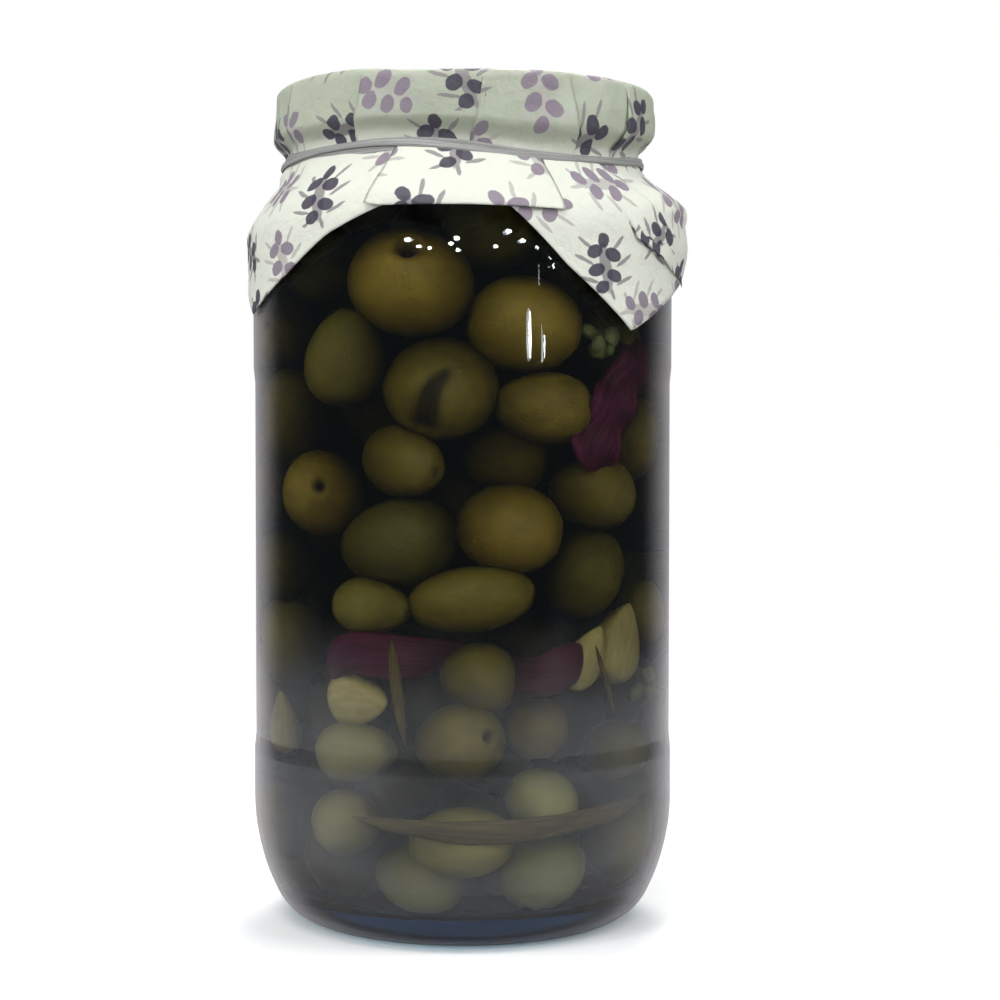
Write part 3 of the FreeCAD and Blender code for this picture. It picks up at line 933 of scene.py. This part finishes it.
# Skirt below the tie, one row for each panel between folds, the lowest layer first: where the tie holds it
# (from, to), widths folded under at its sides, its layer, how far its hem lifts, the direction in which it
# lies on the sheet; then its lower edge from left to right as (azimuth, height).
PANELS = (
    ((-172, -96), (0, 8), 0, 0.4, 205, ((-176, 176.5), (-165, 172), (-148, 151.5), (-128, 166),
     (-112, 173.5), (-92, 178.5))),
    ((96, 172), (8, 0), 0, 0.6, 130, ((92, 175.5), (108, 169.5), (131, 150.5), (150, 164.5), (163, 173.5),
     (176, 177.5))),
    ((-112, -13), (6, 0), 0.5, 0.1, -52, ((-120, 178), (-103, 172), (-88, 164.5), (-72, 154.8),
     (-50.7, 163.8), (-35.6, 172.7), (-19.8, 178.9), (-10, 181))),
    ((36, 108), (5, 6), 0.4, 1.6, 84, ((48, 172), (66, 165.5), (84, 162.4), (99, 166), (116, 174.5))),
    ((4, 44), (0, 3), 1.1, 0.5, 40, ((5, 182.5), (10.4, 179.4), (18.6, 172), (26.2, 164.9), (36.6, 157.4),
     (46.9, 149.8), (64, 157.6), (82, 164.6))),
    ((150, 204), (7, 7), 1.2, 0.8, 168, ((149, 178), (177, 177.4), (207, 178.4))),
    ((-124, -98), (4, 5), 1.1, 0.8, -110, ((-127, 179), (-111, 178.2), (-95, 179.2))),
    ((-20, 24), (9, 12), 1.9, 0.3, -6, ((-24.4, 179.3), (-20, 178.6), (2, 178.5), (20, 178),
     (25.6, 177.8))),
)
# How far out the skirt hangs and how far its ruffled right side stands out from that, by height. The ruffle
# (BULGE) and the drawn-in left side (SLIM) fade on both sides of the azimuth given with them.
DRAPE = (
    (149, 54.45), (165, 54.6), (172, 54.8), (177, 54.9), (180.3, 54.2), (182.8, 52.9), (185.4, 50.9),
    (188, 48.6), (190.6, 46.5), (193.2, 45.3), (197, 45.3),
)
BULGE_AT, BULGE_WIDE = 88.0, 30.0
BULGE = (
    (150, 0), (164, 0.1), (167, 0.9), (170, 1.9), (172.5, 2.3), (175, 1.9), (178, 1.7), (180.5, 3),
    (183, 3.7), (185.5, 2.6), (188, 0.9), (191, 0),
)
SLIM_AT, SLIM_WIDE, SLIM_IN = -88.0, 30.0, 2.6
PANEL_ROWS, PANEL_COLUMNS, TUCK_COLUMNS = 30, 44, 5
DEGREE = 0.95  # mm round the shoulder


def beside(azimuth, middle, wide):
    """1 at the middle azimuth, fading to 0 on both sides."""
    return np.exp(-(((azimuth - middle) / wide) ** 2))


def panel_points(number, tied_span, tucks, layer, hem_lift, sheet_at, hem):
    """One panel of the skirt, with its sides folded under: points and sheet coordinates, row after row."""
    hem = np.array(hem, float)
    run = np.concatenate([[0.0], np.cumsum(np.hypot(np.diff(hem[:, 0]) * DEGREE, np.diff(hem[:, 1])))])
    run /= run[-1]
    across = np.linspace(0.0, 1.0, PANEL_COLUMNS)[None, :]
    down = np.linspace(0.0, 1.0, PANEL_ROWS)[:, None]
    hem_azimuth = np.interp(across, run, hem[:, 0])
    tied = tied_span[0] + (tied_span[1] - tied_span[0]) * across
    top = tie_height(tied) + TIE_THICK
    azimuth = tied + (hem_azimuth - tied) * down**1.15
    height = top + (np.interp(across, run, hem[:, 1]) - top) * down
    drop = top - height
    u = np.radians(azimuth - sum(tied_span) / 2) * 50.0
    v = drop * 1.12 + 66.0
    dent = creases(u + 61.0 * number, v, 40 + number, 7, (9.0, 26.0))
    gathers = ripple(u + 17.0 * number, 60 + number, 5, 64.0) * np.exp(-drop / 9.0)
    gathers = gathers * smoothstep(1.0, 4.5, drop)
    bulge = beside(azimuth, BULGE_AT, BULGE_WIDE) * np.interp(height, *np.transpose(BULGE))
    slim = smoothstep(174.0, 183.0, height) * smoothstep(191.0, 187.0, height)
    slim = beside(azimuth, SLIM_AT, SLIM_WIDE) * slim
    spread = smoothstep(0.0, 6.0, drop)
    radius = through(DRAPE, height - 0.6 * (tie_height(azimuth) - TIE_HEIGHT))
    radius = radius + layer * (0.30 + 0.70 * spread) + bulge - SLIM_IN * slim + hem_lift * down**3
    radius = radius + np.maximum(0.30 * dent, -0.15) * spread + 0.55 * gathers
    edge = np.minimum(across, 1.0 - across) * (hem_azimuth[0, -1] - hem_azimuth[0, 0]) * DEGREE
    radius = radius - 0.25 * np.exp(-((edge / 0.8) ** 2)) * spread
    columns = [(azimuth, radius, height, u, v)]
    for side, width in zip((0, -1), tucks):
        if not width:
            continue
        share = np.linspace(0.0, 1.0, TUCK_COLUMNS + 1)[1:][None, :]
        inward = (1 if side == 0 else -1) * width * share / DEGREE * (0.25 + 0.75 * down)
        sink = 0.25 + 0.30 * share * spread[:, :1]
        under = (
            azimuth[:, [side]] + inward, radius[:, [side]] - sink, height[:, [side]] + 0.6 * share * down,
            u[:, [side]] - inward * DEGREE, v[:, [side]],
        )
        under = [np.broadcast_to(part, inward.shape) for part in under]
        if side == 0:
            columns.insert(0, [part[:, ::-1] for part in under])
        else:
            columns.append(under)
    azimuth, radius, height, u, v = (np.concatenate(parts, axis=1) for parts in zip(*columns))
    angle = np.radians(sheet_at)
    sheet = np.stack([v * np.sin(angle) + u * np.cos(angle), -v * np.cos(angle) + u * np.sin(angle)], axis=-1)
    return around(azimuth, np.maximum(radius, 44.3), height), sheet


def make_paper():
    """The whole paper as one piece of thin sheet: the crown and, under the tie, the panels of the skirt."""
    pile = Pile()
    crown, sheet = crown_points()
    rows, columns = crown.shape[:2]
    middle = np.append(crown[0].mean(axis=0)[:2], crown[0, :, 2].mean())
    fan = [(0, 1 + i, 1 + (i + 1) % columns) for i in range(columns)]
    faces = [*fan, *(grid_faces(rows, columns, wrap=True)[:, ::-1] + 1)]
    points = np.concatenate([[middle], crown.reshape(-1, 3)])
    pile.add(points, faces, sheet=np.concatenate([np.zeros((1, 2)), sheet.reshape(-1, 2)]) * MM)
    for number, panel in enumerate(PANELS):
        made, sheet = panel_points(number, *panel)
        pile.add(made.reshape(-1, 3), grid_faces(*made.shape[:2])[:, ::-1], sheet=sheet.reshape(-1, 2) * MM)
    piece = pile.mesh("paper_square", paper_material())
    modifier = piece.modifiers.new("solidify", "SOLIDIFY")
    modifier.thickness = PAPER_THICK * MM
    modifier.offset = 0.0
    modifier.use_even_offset = False
    flat = piece.data
    piece.data = bpy.data.meshes.new_from_object(piece.evaluated_get(bpy.context.evaluated_depsgraph_get()))
    piece.modifiers.clear()
    bpy.data.meshes.remove(flat)
    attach(piece, "root")
    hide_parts("paper_cover")


# ---- tie strands
# Each strand: how far above the tie's course and out from the neck it runs, its half width and half thickness
# (mm), and the seed of its wander.
STRANDS = ((0.95, 0.55, 0.85, 0.42, 3), (-0.55, 0.50, 0.95, 0.42, 8), (0.15, 1.15, 0.80, 0.38, 14))
TIE_GRID = (420, 12)


def make_tie():
    """Three flat fibre strands wound side by side, crossing over each other here and there."""
    pile = Pile()
    azimuth = np.linspace(-180.0, 180.0, TIE_GRID[0], endpoint=False)
    turn = full_turn(TIE_GRID[1])
    apart = 1.0 + 0.9 * np.exp(-(((azimuth + 72.0) / 16.0) ** 2))
    for above, out, half_wide, half_thick, seed in STRANDS:
        height = tie_height(azimuth) + above * apart + 0.45 * ripple(azimuth, seed, 4)
        reach = NECK_RADIUS + 0.30 + out + 0.18 * ripple(azimuth, seed + 1, 4)
        tilt = 0.55 * ripple(azimuth, seed + 2, 3)[:, None]
        wide = half_wide * (1.0 + 0.16 * ripple(azimuth, seed + 3, 6))
        across = wide[:, None] * np.cos(turn)[None, :]
        deep = half_thick * np.sin(turn)[None, :] * (1.0 + 0.15 * np.cos(3 * turn)[None, :])
        lean_up = across * np.cos(tilt) + deep * np.sin(tilt)
        lean_out = deep * np.cos(tilt) - across * np.sin(tilt)
        made = around(azimuth[:, None], reach[:, None] + lean_out, height[:, None] + lean_up)
        round_it = (np.abs(turn - np.pi) / np.pi)[None, :] * 0.02
        sheet = np.stack(np.broadcast_arrays((azimuth / 360.0)[:, None] + seed, round_it), axis=-1)
        pile.add(made.reshape(-1, 3), grid_faces(*TIE_GRID, wrap=True, ring=True), sheet=sheet.reshape(-1, 2))
    piece = pile.mesh("tie_strands", strand_material())
    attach(piece, "root")
    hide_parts("tie")


# ---- stage, lamps and camera
VIEW_DISTANCE = 552.0
VIEW_HEIGHT = 126.5
VIEW_DOWN = 0.034
VIEW_FOCAL = 76.4
VIEW_SHIFT = 0.0375
FLOOR_REACH = 2600.0
BEHIND = (0.42, 0.96)  # share towards +Y over which the mirrored room turns from dim to paler


def ray_kinds(n):
    """Sockets: rays that should meet plain white, rays mirrored by the jar, and rays of bounced light."""
    path = n.node("LightPath").outputs
    first = n.math("LESS_THAN", path["Diffuse Depth"], 0.5)
    mirrored = n.math("GREATER_THAN", path["Glossy Depth"], 0.5)
    looked = n.math("MAXIMUM", path["Is Camera Ray"], path["Is Transmission Ray"])
    plain = n.minus(first, mirrored, clamp=True)
    return n.times(looked, plain), n.times(mirrored, first), path["Is Diffuse Ray"]


def make_floor():
    """A pale floor that takes the shadow near the jar and turns plain white further out."""
    n = Nodes("pale_floor")
    where = n.place()
    reach = n.length(where)
    looked, mirrored, bounced = ray_kinds(n)
    tone = n.mix(n.noise(where, 4.0, 3.0), (0.80, 0.80, 0.80), (0.84, 0.84, 0.84))
    white = n.shader("Emission", Color=(1.0, 1.0, 1.0), Strength=1.0)
    far = n.times(looked, n.step(0.14, 0.50, reach))
    lit = n.blend(far, n.shader("BsdfDiffuse", Color=tone), white)
    lit = n.blend(bounced, lit, n.shader("BsdfDiffuse", Color=(0.28, 0.28, 0.28)))
    behind = n.step(*BEHIND, n.math("DIVIDE", n.split(where)[1], n.plus(reach, 0.001)))
    room = n.mix(behind, (0.048, 0.055, 0.060), (0.279, 0.288, 0.300))
    edge = n.plus(reach, n.times(n.minus(n.noise(where, 2.5, 3.0), 0.5), 0.25))
    near = n.shader("BsdfDiffuse", Color=(0.27, 0.27, 0.28))
    dim = n.blend(n.step(0.42, 0.75, edge), near, n.shader("Emission", Color=room, Strength=1.0))
    material = n.finish(n.blend(mirrored, lit, dim))
    points = np.concatenate([[[0.0, 0.0, -0.05]], around(np.arange(96) * 3.75, FLOOR_REACH, -0.05)])
    faces = [(0, 1 + i, 1 + (i + 1) % 96) for i in range(96)]
    make_mesh("floor", points, faces, material, smooth=False)


def make_world():
    """White wherever it is looked at, softer as light, and a dim room in front for reflections."""
    n = Nodes("studio", "worlds")
    looked, mirrored, _ = ray_kinds(n)

    def sky(colour, strength):
        return n.shader("Background", Color=colour, Strength=strength)

    behind = n.step(*BEHIND, n.split(n.place("Generated"))[1])
    room = n.blend(behind, sky((0.80, 0.92, 1.0), 0.06), sky((0.93, 0.96, 1.0), 0.30))
    soft = n.blend(mirrored, sky((0.97, 0.98, 1.0), 0.30), room)
    bpy.context.scene.world = n.finish(n.blend(looked, soft, sky((1.0, 1.0, 1.0), 1.0)))


def add_lamp(name, azimuth, reach, height, size, power):
    light = bpy.data.lights.new(name, "AREA")
    light.shape = "DISK"
    light.size = size
    light.energy = power
    lamp = bpy.data.objects.new(name, light)
    lamp.location = Vector(around(azimuth, reach, height) * MM)
    lamp.rotation_mode = "QUATERNION"
    lamp.rotation_quaternion = (Vector((0.0, 0.0, 0.12)) - lamp.location).to_track_quat("-Z", "Y")
    bpy.context.scene.collection.objects.link(lamp)
    return lamp


GLINT_POWER = 110.0  # watts for a lamp one metre across
# Small ceiling lights, seen only as glints: azimuth, distance from the axis, height (mm), size (m).
CEILING = (
    (-31, 3000, 1500, 0.18), (-24, 3100, 1250, 0.14), (-18, 3000, 1150, 0.13), (-6, 3000, 1350, 0.15),
    (-3, 3000, 1600, 0.18), (-2, 3200, 1150, 0.14), (27, 3000, 1900, 0.20), (18, 3200, 1300, 0.14),
    (34, 3000, 1450, 0.16), (41, 3200, 1250, 0.13), (48, 3100, 800, 0.13), (42, 3400, 480, 0.06),
    (49, 3500, 560, 0.08), (36, 3400, 300, 0.09), (44, 3400, 285, 0.05),
)


# Broad soft lamps that light the sides without showing in the glass: azimuth, power.
SOFT_LAMPS = {"front": (-12.0, 8.4), "left": (-85.0, 9.0), "right": (80.0, 9.0), "rear": (180.0, 7.0)}


def make_lamps():
    add_lamp("key", -25.0, 850.0, 1500.0, 0.55, 11.0)
    add_lamp("fill", 50.0, 950.0, 1350.0, 0.7, 6.5)
    add_lamp("back", 170.0, 850.0, 1450.0, 0.7, 13.0)
    for name, (azimuth, power) in SOFT_LAMPS.items():
        lamp = add_lamp(name, azimuth, 1300.0, 620.0, 0.9, power)
        lamp.visible_glossy = False
        lamp.visible_transmission = False
    for number, (azimuth, reach, height, size) in enumerate(CEILING):
        lamp = add_lamp(f"ceiling_{number}", azimuth, reach, height, size, GLINT_POWER * size * size)
        lamp.visible_diffuse = False


def make_camera():
    data = bpy.data.cameras.new("view")
    data.lens = VIEW_FOCAL
    data.sensor_width = 36.0
    data.shift_x = VIEW_SHIFT
    data.clip_start, data.clip_end = 0.01, 20.0
    camera = bpy.data.objects.new("view", data)
    camera.location = (0.0, -VIEW_DISTANCE * MM, VIEW_HEIGHT * MM)
    camera.rotation_euler = (math.pi / 2 - VIEW_DOWN, 0.0, 0.0)
    bpy.context.scene.collection.objects.link(camera)
    bpy.context.scene.camera = camera


# ---- build
make_camera()
make_world()
make_lamps()
make_floor()
dress_node("jar", glass_material())
dress_node("cap", lacquer_material())
make_brine()
make_olives()
make_trimmings()
make_paper()
make_tie()

bpy.context.scene.view_settings.view_transform = "Standard"
